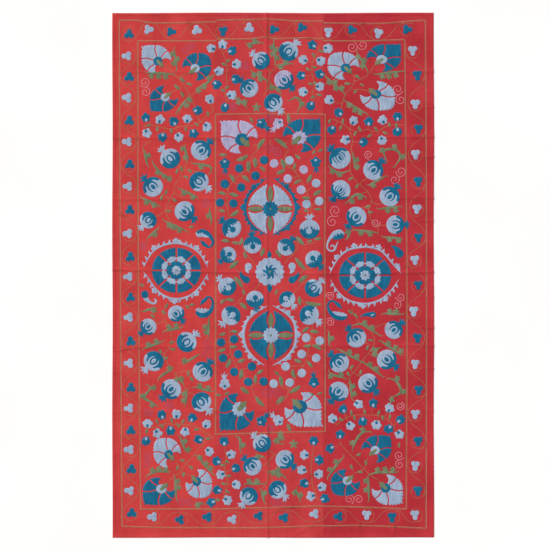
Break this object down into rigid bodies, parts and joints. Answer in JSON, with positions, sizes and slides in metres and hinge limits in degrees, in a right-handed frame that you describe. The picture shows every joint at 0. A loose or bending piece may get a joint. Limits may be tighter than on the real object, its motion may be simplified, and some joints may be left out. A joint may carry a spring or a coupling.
{
  "type": "suzani embroidered textile",
  "caption": "Flat red hand-loom cloth of narrow panels sewn side by side, embroidered with a framed field of medallions, pomegranates, carnations and vines inside a trefoil border.",
  "frame": {"origin": "bottom centre of the cloth's box, on the surface that it lies on", "axes": "+Z out of the embroidered face, +Y along the length to the top end, +X to the right as seen from the face"},
  "size_m": [1.416, 2.31, 0.006],
  "materials": {
    "cloth_left": "vermilion plain-woven hand-loom cloth with silk embroidery",
    "cloth_middle": "madder-red plain-woven hand-loom cloth with silk embroidery",
    "cloth_right": "crimson plain-woven hand-loom cloth with silk embroidery"
  },
  "bodies": {
    "root": {"panel_left": "cloth_left", "panel_middle": "cloth_middle", "panel_right": "cloth_right"}
  },
  "joints": []
}
